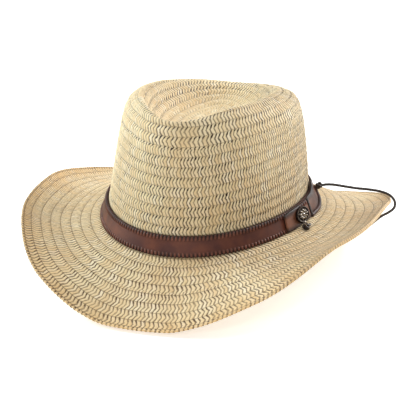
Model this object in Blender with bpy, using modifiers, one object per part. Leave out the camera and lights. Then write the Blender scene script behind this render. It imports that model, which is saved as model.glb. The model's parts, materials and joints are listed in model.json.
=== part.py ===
# Outback hat: sewn straw-braid crown and brim, leather band with a side tab, concho and chin cord.
# Metres, +Z up, front of the hat towards -Y, the wearer's left towards +X.
# The origin is on the floor, in the middle of the hat's outline.
import bpy
import bmesh
from math import atan2, cos, degrees, hypot, pi, radians, sin, tan
from mathutils import Matrix, Vector

# Driving dimensions
CROWN_LENGTH = 0.2038        # outside of the straw at the foot of the crown, front to back
CROWN_WIDTH = 0.1612         # the same, side to side
CROWN_HEIGHT = 0.0995        # foot of the crown to the side crests
CROWN_EGG = 0.036            # the head oval is narrower in front by this share
BRIM_WIDTH = 0.0673          # level reach of the brim in front
BRIM_CURL = 0.0334           # how far the brim's front dips below the band
BAND_DIP = 0.0050            # the band's line is lower in front than at the sides by about this
BAND_WAVE = {"level": 0.78, "tilt": -0.76, "saddle": -0.34}     # its course, in shares of the dip
LINE_FADE = 0.85             # share of the crown's height up to which the dip still shows
STRAW = 0.0020               # thickness of the sewn braid
FOOT_FILLET = 0.0018         # rounding where the crown turns into the brim
BAND_HEIGHT = 0.0142
BAND_SEAT = 0.0014           # the band's lower edge lies this far above the crown's foot
LEATHER = 0.0018             # thickness of the band and of the tab
CLEARANCE = 0.0003           # between pieces that touch on the real hat
CONCHO_LENGTH = 0.0205
CONCHO_HEIGHT = 0.0120
CONCHO_THICKNESS = 0.0022
CORD_DIAMETER = 0.0022
KNOT_LENGTH = 0.0052
KNOT_DIAMETER = 0.0060
KNOT_TILT = 0.35             # the left knot leans away from the tab's face towards the level
END_KNOT_LENGTH = 0.0053
TAIL_LENGTH = 0.0060         # free cord end below the lower knot

# How finely the pieces are divided
TURNS = 60                   # divisions around the hat
CROWN_STEPS = 2              # divisions between two stations of the crown
BRIM_STEPS = 9
TAB_STEPS = 26
TURNED_STEPS = 16            # sides of the concho and the knots
SHARP_EDGE = 50              # degrees between faces from which an edge is shaded sharp

# Crown stations from the foot up over the crest and down into the dent, at these turns from the front.
# inset is a share of half the crown's width, height a share of the crown's height.
CROWN_TURNS = (0, 20, 42, 70, 90, 110, 135, 180)
CROWN = {
    "foot":      {"inset": (0, 0, 0, 0, 0, 0, 0, 0),
                  "height": (0, 0, 0, 0, 0, 0, 0, 0)},
    "band_top":  {"inset": (0.060, 0.060, 0.060, 0.060, 0.060, 0.060, 0.060, 0.060),
                  "height": (0.143, 0.143, 0.143, 0.143, 0.143, 0.143, 0.143, 0.143)},
    "wall_low":  {"inset": (0.086, 0.086, 0.096, 0.108, 0.092, 0.082, 0.079, 0.079),
                  "height": (0.38, 0.38, 0.38, 0.38, 0.38, 0.38, 0.38, 0.38)},
    "wall_high": {"inset": (0.117, 0.123, 0.140, 0.157, 0.126, 0.110, 0.100, 0.098),
                  "height": (0.62, 0.62, 0.62, 0.615, 0.61, 0.605, 0.60, 0.60)},
    "shoulder":  {"inset": (0.160, 0.185, 0.212, 0.204, 0.165, 0.146, 0.123, 0.117),
                  "height": (0.825, 0.825, 0.825, 0.808, 0.795, 0.780, 0.762, 0.745)},
    "roll":      {"inset": (0.191, 0.228, 0.268, 0.262, 0.228, 0.205, 0.199, 0.222),
                  "height": (0.905, 0.915, 0.928, 0.920, 0.910, 0.893, 0.870, 0.830)},
    "crest":     {"inset": (0.216, 0.284, 0.340, 0.368, 0.366, 0.362, 0.383, 0.433),
                  "height": (0.950, 0.970, 0.997, 0.992, 0.980, 0.957, 0.918, 0.880)},
    "lip":       {"inset": (0.272, 0.334, 0.390, 0.430, 0.436, 0.438, 0.470, 0.532),
                  "height": (0.925, 0.945, 0.974, 0.968, 0.956, 0.932, 0.898, 0.857)},
    "dent_wall": {"inset": (0.396, 0.433, 0.470, 0.510, 0.530, 0.560, 0.607, 0.718),
                  "height": (0.845, 0.845, 0.855, 0.855, 0.852, 0.842, 0.818, 0.785)},
    "dent_foot": {"inset": (0.594, 0.594, 0.619, 0.640, 0.660, 0.690, 0.743, 0.855),
                  "height": (0.765, 0.765, 0.765, 0.760, 0.755, 0.752, 0.750, 0.745)},
    "centre":    {"inset": (1, 1, 1, 1, 1, 1, 1, 1),
                  "height": (0.740, 0.740, 0.740, 0.740, 0.740, 0.740, 0.740, 0.740)},
}

# The brim at turns from the front: reach is a share of BRIM_WIDTH, lift of the edge above the band's
# line a share of BRIM_CURL, and the slopes, in degrees, are those at the crown and at the edge.
BRIM_TURNS = (0, 8, 15, 30, 60, 90, 120, 150, 165, 172, 180)
BRIM = {
    "reach":      (1.000, 1.010, 1.030, 1.050, 0.927, 0.862, 0.932, 0.966, 0.947, 0.941, 0.938),
    "lift":       (-1.000, -0.985, -0.850, -0.390, 0.365, 0.404, -0.006, -0.644, -0.900, -0.985, -1.000),
    "foot_slope": (-22, -22, -21, -19, -15, -14, -16, -22, -25, -26, -26),
    "edge_slope": (-18, -18, -15, -4, 32, 46, 28, -4, -18, -22, -22),
}

# The leather tab over the band on the wearer's left, front end to rear end. rise and drop are the
# tab's upper and lower edges, and the stands how far those edges are off the band, as shares of
# BAND_HEIGHT.
TAB = {
    "turn":       (66, 70, 76, 83, 89, 94, 98, 102, 105, 108),
    "rise":       (0.93, 1.00, 1.02, 1.02, 1.02, 1.04, 1.10, 1.22, 1.36, 1.42),
    "drop":       (0.08, 0.02, 0.02, 0.02, 0.02, 0.03, 0.10, 0.36, 0.72, 0.98),
    "high_stand": (0.00, 0.00, 0.00, 0.00, 0.00, 0.02, 0.04, 0.04, 0.02, 0.01),
    "low_stand":  (0.00, 0.00, 0.00, 0.00, 0.00, 0.05, 0.13, 0.17, 0.08, 0.03),
}
CONCHO_TURN = 79
END_KNOT_TURN = 76
LEFT_KNOT_TURN = 106
LEFT_KNOT_RISE = 0.20        # share of the tab's height there
RIGHT_KNOT_TURN = -108
RIGHT_KNOT_RISE = 0.75       # share of the band's height

# Half sections of the turned pieces, as shares of their half width and of their height or half length.
CONCHO_FORM = {
    "radius": (0, 0.45, 0.78, 1.00, 1.00, 0),
    "height": (1.00, 0.94, 0.72, 0.36, 0, 0),
}
KNOT_FORM = {
    "along":  (1.00, 1.00, 0.62, 0.20, -0.20, -0.62, -1.00),
    "radius": (0, 0.48, 0.85, 1.00, 1.00, 0.85, 0.48),
}

# Route of the chin cord in metres, measured from the hat's origin: off the tab, over the edge of the
# brim and down under it, along the floor round the back, and up over the brim to the right knot.
CORD_ROUTE = (
    (0.08416, 0.03159, 0.05583), (0.0885, 0.0326, 0.0564), (0.0940, 0.0334, 0.0563),
    (0.1020, 0.0342, 0.0555), (0.1110, 0.0354, 0.0546),
    (0.1210, 0.0376, 0.0538), (0.1300, 0.0398, 0.0522), (0.1366, 0.0412, 0.0492), (0.1400, 0.0420, 0.0444),
    (0.1396, 0.0426, 0.0392), (0.1356, 0.0432, 0.0350), (0.1290, 0.0442, 0.0303), (0.1215, 0.0466, 0.0228),
    (0.1130, 0.0503, 0.0146), (0.1050, 0.0552, 0.0078), (0.0980, 0.0620, 0.0031), (0.0945, 0.0690, 0.0017),
    (0.0920, 0.0770, 0.00125), (0.0880, 0.0920, 0.00125), (0.0810, 0.1150, 0.00125),
    (0.0680, 0.1450, 0.00125), (0.0470, 0.1790, 0.00125), (0.0160, 0.2070, 0.00125),
    (-0.0210, 0.2140, 0.00125), (-0.0430, 0.2085, 0.00125), (-0.0580, 0.1970, 0.0015),
    (-0.0670, 0.1830, 0.0027), (-0.0720, 0.1700, 0.0054), (-0.0748, 0.1580, 0.0104),
    (-0.0758, 0.1490, 0.0146), (-0.0762, 0.1400, 0.0163), (-0.0765, 0.1300, 0.0186),
    (-0.0770, 0.1120, 0.0248), (-0.0775, 0.1000, 0.0290), (-0.0782, 0.0870, 0.0332),
    (-0.0788, 0.0740, 0.0371), (-0.0791, 0.0620, 0.0420), (-0.0790, 0.0530, 0.0466),
    (-0.07865, 0.0440, 0.0504), (-0.07853, 0.03661, 0.0516),
)
CORD_SPACING = 3.2           # distance between the cord's points, in cord diameters

HALF_WIDTH = CROWN_WIDTH / 2
HALF_LENGTH = CROWN_LENGTH / 2
BAND_OUT = CLEARANCE + LEATHER       # outer face of the band from the straw's outer face


def through(places, values, at):
    """Smooth curve through values at rising places, level at both ends and without overshoot."""
    last = len(places) - 1
    i = 0
    while i < last - 1 and at > places[i + 1]:
        i += 1
    span = places[i + 1] - places[i]
    share = min(max((at - places[i]) / span, 0.0), 1.0)

    def tangent(k):
        if k == 0 or k == last:
            return 0.0
        before = (values[k] - values[k - 1]) / (places[k] - places[k - 1])
        after = (values[k + 1] - values[k]) / (places[k + 1] - places[k])
        if before * after <= 0:
            return 0.0
        return 2 * before * after / (before + after)

    rise = values[i + 1] - values[i]
    start, end = tangent(i) * span, tangent(i + 1) * span
    return (values[i] + start * share + (3 * rise - 2 * start - end) * share ** 2
            + (start + end - 2 * rise) * share ** 3)


def turn_of(angle):
    """Degrees from the front, 0 to 180, on either side of the hat."""
    return abs(degrees(atan2(sin(angle), cos(angle))))


def band_line(angle):
    """Height of the band's lower edge around the head, lowest in front."""
    wave = BAND_WAVE["tilt"] * cos(angle) + BAND_WAVE["saddle"] * cos(2 * angle)
    return BAND_DIP * (BAND_WAVE["level"] + wave)


def foot_line(angle):
    """Height of the corner between crown and brim."""
    return band_line(angle) - BAND_SEAT


def oval(angle, inset):
    """Point on the head oval, moved in towards its long axis by inset."""
    half_width = HALF_WIDTH - inset
    half_length = HALF_LENGTH - inset
    return Vector((half_width * sin(angle) * (1 - CROWN_EGG * cos(angle)), -half_length * cos(angle), 0))


def outward(angle):
    """Level direction straight out from the head oval."""
    return Vector((sin(angle) / HALF_WIDTH, -cos(angle) / HALF_LENGTH, 0)).normalized()


def crown_station(name, angle):
    """Inset and height of a crown station at an angle."""
    station = CROWN[name]
    turn = turn_of(angle)
    inset = through(CROWN_TURNS, station["inset"], turn) * HALF_WIDTH
    share = through(CROWN_TURNS, station["height"], turn)
    line = foot_line(angle) * max(0.0, 1 - share / LINE_FADE)
    return Vector((inset, share * CROWN_HEIGHT + line))


def crown_point(place, angle):
    """Point on the crown's outer face: place counts stations from the foot to the centre."""
    names = list(CROWN)
    i = min(int(place), len(names) - 2)
    share = place - i
    around = [crown_station(names[min(max(k, 0), len(names) - 1)], angle) for k in (i - 1, i, i + 1, i + 2)]
    before, start, end, after = around
    bend = 2 * before - 5 * start + 4 * end - after
    twist = 3 * start - before - 3 * end + after
    flat = start + 0.5 * ((end - before) * share + bend * share ** 2 + twist * share ** 3)
    if place >= len(names) - 1:
        flat.x = HALF_WIDTH
    point = oval(angle, flat.x)
    point.z = flat.y
    return point


def brim_point(place, angle):
    """Point on the brim's upper face: place is 0 at the crown and 1 at the edge."""
    turn = turn_of(angle)
    reach = through(BRIM_TURNS, BRIM["reach"], turn) * BRIM_WIDTH
    edge = through(BRIM_TURNS, BRIM["lift"], turn) * BRIM_CURL
    start_slope = tan(radians(through(BRIM_TURNS, BRIM["foot_slope"], turn))) * reach
    end_slope = tan(radians(through(BRIM_TURNS, BRIM["edge_slope"], turn))) * reach
    foot = foot_line(angle)
    rise = edge - foot
    height = (foot + start_slope * place + (3 * rise - 2 * start_slope - end_slope) * place ** 2
              + (start_slope + end_slope - 2 * rise) * place ** 3)
    point = oval(angle, 0) + outward(angle) * reach * place
    point.z = height
    return point


def straw_section(angle):
    """Points of the straw's outer face at one angle, from the crown's centre out to the brim's edge."""
    last = len(CROWN) - 1
    crown = [crown_point(k / CROWN_STEPS, angle) for k in range(last * CROWN_STEPS, 0, -1)]
    corner = oval(angle, 0) + Vector((0, 0, foot_line(angle)))
    above = corner.lerp(crown_point(1, angle), FOOT_FILLET / BAND_HEIGHT)
    start = FOOT_FILLET / BRIM_WIDTH
    beside = brim_point(start, angle)
    fillet = [above, above.lerp(corner, 0.5).lerp(corner.lerp(beside, 0.5), 0.5), beside]
    brim = [brim_point(start + (1 - start) * k / BRIM_STEPS, angle) for k in range(1, BRIM_STEPS + 1)]
    return crown + fillet + brim


def clear_scene():
    for thing in list(bpy.data.objects):
        bpy.data.objects.remove(thing)


def material(name, colour, roughness, metallic=0.0):
    made = bpy.data.materials.new(name)
    made.use_nodes = True
    shader = made.node_tree.nodes["Principled BSDF"]
    shader.inputs["Base Color"].default_value = (*colour, 1)
    shader.inputs["Roughness"].default_value = roughness
    shader.inputs["Metallic"].default_value = metallic
    return made


def place_object(name, data, finish, collection, hat):
    thing = bpy.data.objects.new(name, data)
    data.materials.append(finish)
    collection.objects.link(thing)
    thing.parent = hat
    return thing


def shade(mesh):
    mesh.shade_smooth()
    mesh.set_sharp_from_angle(angle=radians(SHARP_EDGE))


def disc(rings):
    """Flat disc of rings 1, 2, 3 ... wide, which the shaping functions turn into a hat."""
    form = bmesh.new()
    line = [form.verts.new((0, -ring, 0)) for ring in range(1, rings + 1)]
    spokes = [form.edges.new(pair) for pair in zip(line, line[1:])]
    bmesh.ops.spin(form, geom=line + spokes, cent=(0, 0, 0), axis=(0, 0, 1), angle=2 * pi, steps=TURNS,
                   use_merge=True)
    return form


def straw_body(finish, collection, hat):
    """Crown and brim, one piece of braid sewn round and round from the crown's centre."""
    sections = {}
    form = disc(len(straw_section(0)))
    for vert in form.verts:
        angle = atan2(vert.co.x, -vert.co.y)
        ring = round(hypot(vert.co.x, vert.co.y)) - 1
        key = round(degrees(angle), 2)
        if key not in sections:
            sections[key] = straw_section(angle)
        vert.co = sections[key][ring]
    bmesh.ops.remove_doubles(form, verts=form.verts, dist=0.0001)
    bmesh.ops.recalc_face_normals(form, faces=form.faces)
    highest = max(form.faces, key=lambda face: face.calc_center_median().z)
    if highest.normal.z < 0:
        bmesh.ops.reverse_faces(form, faces=form.faces)
    mesh = bpy.data.meshes.new("straw_body")
    form.to_mesh(mesh)
    form.free()
    shade(mesh)
    body = place_object("straw_body", mesh, finish, collection, hat)
    wall = body.modifiers.new("Straw thickness", "SOLIDIFY")
    wall.thickness = STRAW
    wall.offset = -1
    wall.use_even_offset = True
    return body


def band_face(angle, rise, off):
    """Point on a face standing off the straw, rise counting from the band's lower to its upper edge."""
    inset = CROWN["band_top"]["inset"][0] * HALF_WIDTH * rise
    point = oval(angle, inset) + outward(angle) * off
    fade = CROWN["band_top"]["height"][0] / LINE_FADE * rise
    point.z = band_line(angle) * (1 - fade) + BAND_HEIGHT * rise
    return point


def leather_sheet(name, columns, rows, spot, finish, collection, hat):
    """Leather strip: spot gives each point of its inner face from shares along and across it."""
    form = bmesh.new()
    bmesh.ops.create_grid(form, x_segments=columns, y_segments=rows, size=0.5)
    for vert in form.verts:
        vert.co = spot(vert.co.x + 0.5, vert.co.y + 0.5)
    bmesh.ops.remove_doubles(form, verts=form.verts, dist=0.0001)
    mesh = bpy.data.meshes.new(name)
    form.to_mesh(mesh)
    form.free()
    shade(mesh)
    thing = place_object(name, mesh, finish, collection, hat)
    wall = thing.modifiers.new("Leather thickness", "SOLIDIFY")
    wall.thickness = LEATHER
    wall.offset = 1
    wall.use_even_offset = True
    return thing


def hat_band(finish, collection, hat):
    """Band around the crown, standing out a little more at its lower edge."""
    def spot(along, across):
        return band_face(2 * pi * along, across, CLEARANCE)

    return leather_sheet("hat_band", TURNS, 2, spot, finish, collection, hat)


def tab_face(turn, off):
    """Off the tab's inner face at a turn, as a function of the share between its two edges."""
    low = through(TAB["turn"], TAB["drop"], turn)
    high = through(TAB["turn"], TAB["rise"], turn)
    low_stand = through(TAB["turn"], TAB["low_stand"], turn) * BAND_HEIGHT
    high_stand = through(TAB["turn"], TAB["high_stand"], turn) * BAND_HEIGHT

    def spot(across):
        stand = low_stand + (high_stand - low_stand) * across
        return band_face(radians(turn), low + (high - low) * across, BAND_OUT + CLEARANCE + stand + off)

    return spot


def on_tab(turn, across, off):
    """Point standing off the tab's outer face, with the directions up and straight out of it there."""
    up = (tab_face(turn, LEATHER)(across + 0.1) - tab_face(turn, LEATHER)(across - 0.1)).normalized()
    along = tab_face(turn + 1, LEATHER)(across) - tab_face(turn - 1, LEATHER)(across)
    out = along.cross(up).normalized()
    return tab_face(turn, LEATHER)(across) + out * off, up, out


def side_tab(finish, collection, hat):
    """Second leather layer on the wearer's left, whose rear end stands off and rises to the cord."""
    first, last = TAB["turn"][0], TAB["turn"][-1]

    def spot(along, across):
        return tab_face(first + (last - first) * along, 0)(across)

    return leather_sheet("side_tab", TAB_STEPS, 3, spot, finish, collection, hat)


def turned(name, profile, finish, collection, hat, centre, axis, stretch=1.0, across=Vector((0, 0, 1))):
    """Solid turned about axis from (radius, height) pairs, widened by stretch square to across."""
    form = bmesh.new()
    line = [form.verts.new((radius, 0, height)) for radius, height in profile]
    edges = [form.edges.new(pair) for pair in zip(line, line[1:])]
    bmesh.ops.spin(form, geom=line + edges, cent=(0, 0, 0), axis=(0, 0, 1), angle=2 * pi, steps=TURNED_STEPS,
                   use_merge=True)
    bmesh.ops.remove_doubles(form, verts=form.verts, dist=0.00005)
    bmesh.ops.recalc_face_normals(form, faces=form.faces)
    bmesh.ops.scale(form, vec=(stretch, 1, 1), verts=form.verts)
    side = across.cross(axis).normalized()
    frame = Matrix((side, axis.cross(side), axis)).transposed().to_4x4()
    bmesh.ops.transform(form, matrix=Matrix.Translation(centre) @ frame, verts=form.verts)
    mesh = bpy.data.meshes.new(name)
    form.to_mesh(mesh)
    form.free()
    shade(mesh)
    return place_object(name, mesh, finish, collection, hat)


def concho(finish, collection, hat):
    """Oval metal ornament, flat behind and crowned in front."""
    middle, up, out = on_tab(CONCHO_TURN, 0.5, CLEARANCE)
    profile = [(radius * CONCHO_HEIGHT / 2, height * CONCHO_THICKNESS)
               for radius, height in zip(CONCHO_FORM["radius"], CONCHO_FORM["height"])]
    return turned("concho", profile, finish, collection, hat, middle, out, CONCHO_LENGTH / CONCHO_HEIGHT, up)


def knot_profile(length, tail=0.0):
    """Barrel knot with flat ends, and a cord's free end below it where tail is given."""
    half = length / 2
    barrel = [(radius * KNOT_DIAMETER / 2, along * half)
              for along, radius in zip(KNOT_FORM["along"], KNOT_FORM["radius"])]
    if tail:
        cord = CORD_DIAMETER / 2
        return barrel + [(cord, -half), (cord, -half - tail), (0, -half - tail)]
    return barrel + [(0, -half)]


def left_knot(finish, collection, hat):
    """Knot at the tab's raised rear end, which the chin cord leaves towards the brim's edge."""
    centre, up, out = on_tab(LEFT_KNOT_TURN, LEFT_KNOT_RISE, 2 * CLEARANCE + KNOT_LENGTH / 2)
    axis = Vector((out.x, out.y, KNOT_TILT * out.z)).normalized()
    return turned("left_knot", knot_profile(KNOT_LENGTH), finish, collection, hat, centre, axis, across=up)


def right_knot(finish, collection, hat):
    """Knot on the band on the wearer's right, where the chin cord comes back."""
    angle = radians(RIGHT_KNOT_TURN)
    centre = band_face(angle, RIGHT_KNOT_RISE, BAND_OUT + CLEARANCE + KNOT_DIAMETER / 2)
    axis = outward(angle).cross(Vector((0, 0, 1))).normalized()
    return turned("right_knot", knot_profile(KNOT_LENGTH), finish, collection, hat, centre, axis)


def end_knot(finish, collection, hat):
    """Knot and short free end of the cord, lying on the brim under the concho."""
    angle = radians(END_KNOT_TURN)
    off = BAND_OUT + LEATHER + CONCHO_THICKNESS + 3 * CLEARANCE + KNOT_DIAMETER / 2
    centre = brim_point(off / BRIM_WIDTH, angle) + Vector((0, 0, CLEARANCE + KNOT_DIAMETER / 2))
    axis = outward(angle).cross(Vector((0, 0, 1))).normalized()
    profile = knot_profile(END_KNOT_LENGTH, TAIL_LENGTH)
    return turned("end_knot", profile, finish, collection, hat, centre, axis)


def smooth_route(route, spacing):
    """Points an even distance apart on one smooth curve through the route's points."""
    points = [Vector(point) for point in route]
    points = [2 * points[0] - points[1]] + points + [2 * points[-1] - points[-2]]
    fine = []
    for before, start, end, after in zip(points, points[1:], points[2:], points[3:]):
        chord = (end - start).length
        leave = (end - before) / ((start - before).length + chord) * chord
        arrive = (after - start) / (chord + (after - end).length) * chord
        for k in range(20):
            t = k / 20
            fine.append(start * (1 - 3 * t ** 2 + 2 * t ** 3) + end * (3 * t ** 2 - 2 * t ** 3)
                        + leave * (t - 2 * t ** 2 + t ** 3) + arrive * (t ** 3 - t ** 2))
    fine.append(points[-2])
    length = sum((b - a).length for a, b in zip(fine, fine[1:]))
    count = round(length / spacing)
    even = [fine[0]]
    run = 0.0
    for a, b in zip(fine, fine[1:]):
        step = (b - a).length
        while len(even) < count and run + step >= length * len(even) / count:
            even.append(a.lerp(b, (length * len(even) / count - run) / step))
        run += step
    return even + [fine[-1]]


def chin_cord(finish, collection):
    """Thin cord from the left knot to the right one, laid out as it lies when the hat is put down."""
    points = smooth_route(CORD_ROUTE, CORD_SPACING * CORD_DIAMETER)
    curve = bpy.data.curves.new("chin_cord", "CURVE")
    curve.dimensions = "3D"
    curve.bevel_depth = CORD_DIAMETER / 2
    curve.bevel_resolution = 2
    curve.use_fill_caps = True
    line = curve.splines.new("POLY")
    line.points.add(len(points) - 1)
    for place, point in zip(line.points, points):
        place.co = (*point, 1)
    curve.materials.append(finish)
    thing = bpy.data.objects.new("chin_cord", curve)
    collection.objects.link(thing)
    return thing


def main():
    clear_scene()
    collection = bpy.data.collections.new("outback_hat")
    bpy.context.scene.collection.children.link(collection)
    hat = bpy.data.objects.new("hat", None)
    collection.objects.link(hat)

    straw = material("Paper straw braid", (0.80, 0.68, 0.47), 0.75)
    leather = material("Brown leather", (0.14, 0.052, 0.035), 0.5)
    silver = material("Antique silver", (0.42, 0.40, 0.38), 0.35, 1.0)
    cord = material("Waxed cord", (0.018, 0.013, 0.011), 0.55)

    body = straw_body(straw, collection, hat)
    hat_band(leather, collection, hat)
    side_tab(leather, collection, hat)
    concho(silver, collection, hat)
    left_knot(cord, collection, hat)
    end_knot(cord, collection, hat)
    right_knot(cord, collection, hat)
    chin_cord(cord, collection)

    bpy.context.view_layer.update()
    solid = body.evaluated_get(bpy.context.evaluated_depsgraph_get())
    corners = [Vector(corner) for corner in solid.bound_box]
    low = Vector([min(corner[axis] for corner in corners) for axis in range(3)])
    high = Vector([max(corner[axis] for corner in corners) for axis in range(3)])
    hat.location = (-(low.x + high.x) / 2, -(low.y + high.y) / 2, -low.z)


main()
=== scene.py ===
# Outback hat, dressed: sewn straw braid, stitched leather band and tab, silver concho and chin cord.
# Metres, +Z up, front of the hat towards -Y, the wearer's left towards +X.
import json
from bisect import bisect_left
from math import atan2, cos, degrees, floor, hypot, pi, radians, sin, tan

import bmesh
import bpy
from mathutils import Matrix, Vector


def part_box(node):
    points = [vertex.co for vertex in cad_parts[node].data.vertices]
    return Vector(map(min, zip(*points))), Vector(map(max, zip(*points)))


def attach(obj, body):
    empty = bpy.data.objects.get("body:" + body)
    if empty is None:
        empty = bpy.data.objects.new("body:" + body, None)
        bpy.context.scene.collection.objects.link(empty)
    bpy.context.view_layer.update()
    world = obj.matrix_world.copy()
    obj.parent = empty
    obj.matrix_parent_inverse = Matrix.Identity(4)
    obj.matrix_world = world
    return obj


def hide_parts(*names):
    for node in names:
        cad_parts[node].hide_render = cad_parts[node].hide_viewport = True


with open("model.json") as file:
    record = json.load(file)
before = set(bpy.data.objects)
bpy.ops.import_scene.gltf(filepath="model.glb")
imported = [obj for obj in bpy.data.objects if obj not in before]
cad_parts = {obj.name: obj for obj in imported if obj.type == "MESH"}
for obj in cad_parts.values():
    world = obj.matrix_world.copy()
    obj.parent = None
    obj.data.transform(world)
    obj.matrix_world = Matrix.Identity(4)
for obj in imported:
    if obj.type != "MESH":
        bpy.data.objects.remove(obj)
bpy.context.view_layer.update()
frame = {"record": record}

# Studio
# A white opal table, broad soft lamps on both sides, a weaker one in front, one above and a white room.
# The camera stands almost in front of the hat, a little to the wearer's left, as for the photograph.
AZIMUTH = 17.88              # degrees from the front towards the wearer's left
ELEVATION = 18.74
DISTANCE = 1.218
LENS = 134.0
AIM = Vector((-0.0006, 0, 0.0022))      # from the crown's foot, across the picture and up

foot = Vector(next(mount["pos_m"] for mount in frame["record"]["mounts"] if mount["name"] == "head_opening"))


def linear(hex_colour):
    """Linear RGBA of an sRGB hex colour."""
    shares = [int(hex_colour[i:i + 2], 16) / 255 for i in (1, 3, 5)]
    return (*[s / 12.92 if s <= 0.04045 else ((s + 0.055) / 1.055) ** 2.4 for s in shares], 1.0)


def add_node(tree, kind, inputs, **settings):
    """Node with its settings, whose inputs are values or the sockets that feed them."""
    made = tree.nodes.new(kind)
    for name, value in settings.items():
        setattr(made, name, value)
    for place, value in inputs.items():
        if isinstance(value, bpy.types.NodeSocket):
            tree.links.new(value, made.inputs[place])
        else:
            made.inputs[place].default_value = value
    return made


def new_material(name):
    """Material of that name with its tree and its Principled shader."""
    made = bpy.data.materials.new(name)
    made.use_nodes = True
    return made, made.node_tree, made.node_tree.nodes["Principled BSDF"]


def aim(thing, place, target):
    thing.location = place
    thing.rotation_euler = (target - place).to_track_quat("-Z", "Y").to_euler()
    bpy.context.scene.collection.objects.link(thing)


across_view = Vector((cos(radians(AZIMUTH)), sin(radians(AZIMUTH)), 0))
towards_camera = Vector((sin(radians(AZIMUTH)) * cos(radians(ELEVATION)),
                         -cos(radians(AZIMUTH)) * cos(radians(ELEVATION)), sin(radians(ELEVATION))))
target = foot + across_view * AIM.x + Vector((0, 0, AIM.z))
camera = bpy.data.objects.new("camera", bpy.data.cameras.new("camera"))
camera.data.lens = LENS
camera.data.sensor_width = 36
aim(camera, target + towards_camera * DISTANCE, target)
bpy.context.scene.camera = camera

LAMPS = {
    "left":  {"place": (-1.45, 0.10, 0.80), "size": 0.8, "power": 25, "colour": "#EEFDFF"},
    "front": {"place": (0.10, -1.62, 1.05), "size": 0.4, "power": 5.2, "colour": "#FFFFFF"},
    "right": {"place": (1.06, 1.34, 0.75), "size": 0.8, "power": 29, "colour": "#FFFFFF"},
    "top":   {"place": (0.00, 0.35, 1.60), "size": 1.3, "power": 14, "colour": "#FFFFFF"},
}
for name, lamp in LAMPS.items():
    light = bpy.data.lights.new(name, "AREA")
    light.size = lamp["size"]
    light.energy = lamp["power"]
    light.color = linear(lamp["colour"])[:3]
    aim(bpy.data.objects.new(name, light), Vector(lamp["place"]), foot)

room = bpy.data.worlds.new("white room")
room.use_nodes = True
room.node_tree.nodes["Background"].inputs["Color"].default_value = (1, 1, 1, 1)
room.node_tree.nodes["Background"].inputs["Strength"].default_value = 0.30
bpy.context.scene.world = room
bpy.context.scene.view_settings.view_transform = "Standard"

# Opal acrylic: white and matt, with a little light coming through, so that shadows on it stay pale.
paper, tree, shader = new_material("White opal acrylic table, matt")
shader.inputs["Base Color"].default_value = linear("#F4F4F2")
shader.inputs["Roughness"].default_value = 0.9
shader.inputs["Emission Color"].default_value = (1, 1, 1, 1)
shader.inputs["Emission Strength"].default_value = 0.50
sheet = bmesh.new()
bmesh.ops.create_grid(sheet, x_segments=1, y_segments=1, size=4)
floor_mesh = bpy.data.meshes.new("floor")
sheet.to_mesh(floor_mesh)
sheet.free()
floor_mesh.materials.append(paper)
floor_piece = bpy.data.objects.new("floor", floor_mesh)
bpy.context.scene.collection.objects.link(floor_piece)

# Chin cord
# Three waxed strands twisted into a round cord a little over 2 mm thick. It leaves the knot on the side
# tab, falls over the edge of the brim, lies on the floor round the back and comes up to the right knot.
CORD_DIAMETER = 0.0022
CORD_STRANDS = 3
CORD_LAY = 0.0085            # length of one turn of the twist
CORD_SIDES = 18
CORD_STEP = 0.0011
INTO_KNOT = 2                # steps by which the cord runs on into its knots
CORD_ROUTE = (
    (0.08416, 0.03159, 0.05583), (0.0885, 0.0326, 0.0564), (0.0940, 0.0334, 0.0563),
    (0.1020, 0.0342, 0.0555), (0.1110, 0.0354, 0.0546),
    (0.1210, 0.0376, 0.0538), (0.1300, 0.0398, 0.0522), (0.1366, 0.0412, 0.0492), (0.1400, 0.0420, 0.0444),
    (0.1396, 0.0426, 0.0392), (0.1356, 0.0432, 0.0350), (0.1290, 0.0442, 0.0303), (0.1215, 0.0466, 0.0228),
    (0.1130, 0.0503, 0.0146), (0.1050, 0.0552, 0.0078), (0.0980, 0.0620, 0.0031), (0.0945, 0.0690, 0.0017),
    (0.0920, 0.0770, 0.00125), (0.0880, 0.0920, 0.00125), (0.0810, 0.1150, 0.00125),
    (0.0680, 0.1450, 0.00125), (0.0470, 0.1790, 0.00125), (0.0160, 0.2070, 0.00125),
    (-0.0210, 0.2140, 0.00125), (-0.0430, 0.2085, 0.00125), (-0.0580, 0.1970, 0.0015),
    (-0.0670, 0.1830, 0.0027), (-0.0720, 0.1700, 0.0054), (-0.0748, 0.1580, 0.0104),
    (-0.0758, 0.1490, 0.0146), (-0.0762, 0.1400, 0.0163), (-0.0765, 0.1300, 0.0186),
    (-0.0770, 0.1120, 0.0248), (-0.0775, 0.1000, 0.0290), (-0.0782, 0.0870, 0.0332),
    (-0.0788, 0.0740, 0.0371), (-0.0791, 0.0620, 0.0420), (-0.0790, 0.0530, 0.0466),
    (-0.07865, 0.0440, 0.0504), (-0.07853, 0.03661, 0.0516),
)

# Waxed cotton cord: near black with a brown cast, the wax giving a soft gloss on each strand's back.
cord_finish, tree, shader = new_material("Waxed cord, twisted")
place = add_node(tree, "ShaderNodeTexCoord", {})
fuzz = add_node(tree, "ShaderNodeTexNoise", {"Vector": place.outputs["Object"], "Scale": 900, "Detail": 3})
tint = add_node(tree, "ShaderNodeMix", {"Factor": fuzz.outputs["Fac"], "A": linear("#17100D"),
                                        "B": linear("#3A2A22")}, data_type="RGBA")
grain = add_node(tree, "ShaderNodeBump", {"Height": fuzz.outputs["Fac"], "Strength": 0.35,
                                          "Distance": 0.0002})
tree.links.new(tint.outputs["Result"], shader.inputs["Base Color"])
tree.links.new(grain.outputs["Normal"], shader.inputs["Normal"])
shader.inputs["Roughness"].default_value = 0.42


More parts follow.
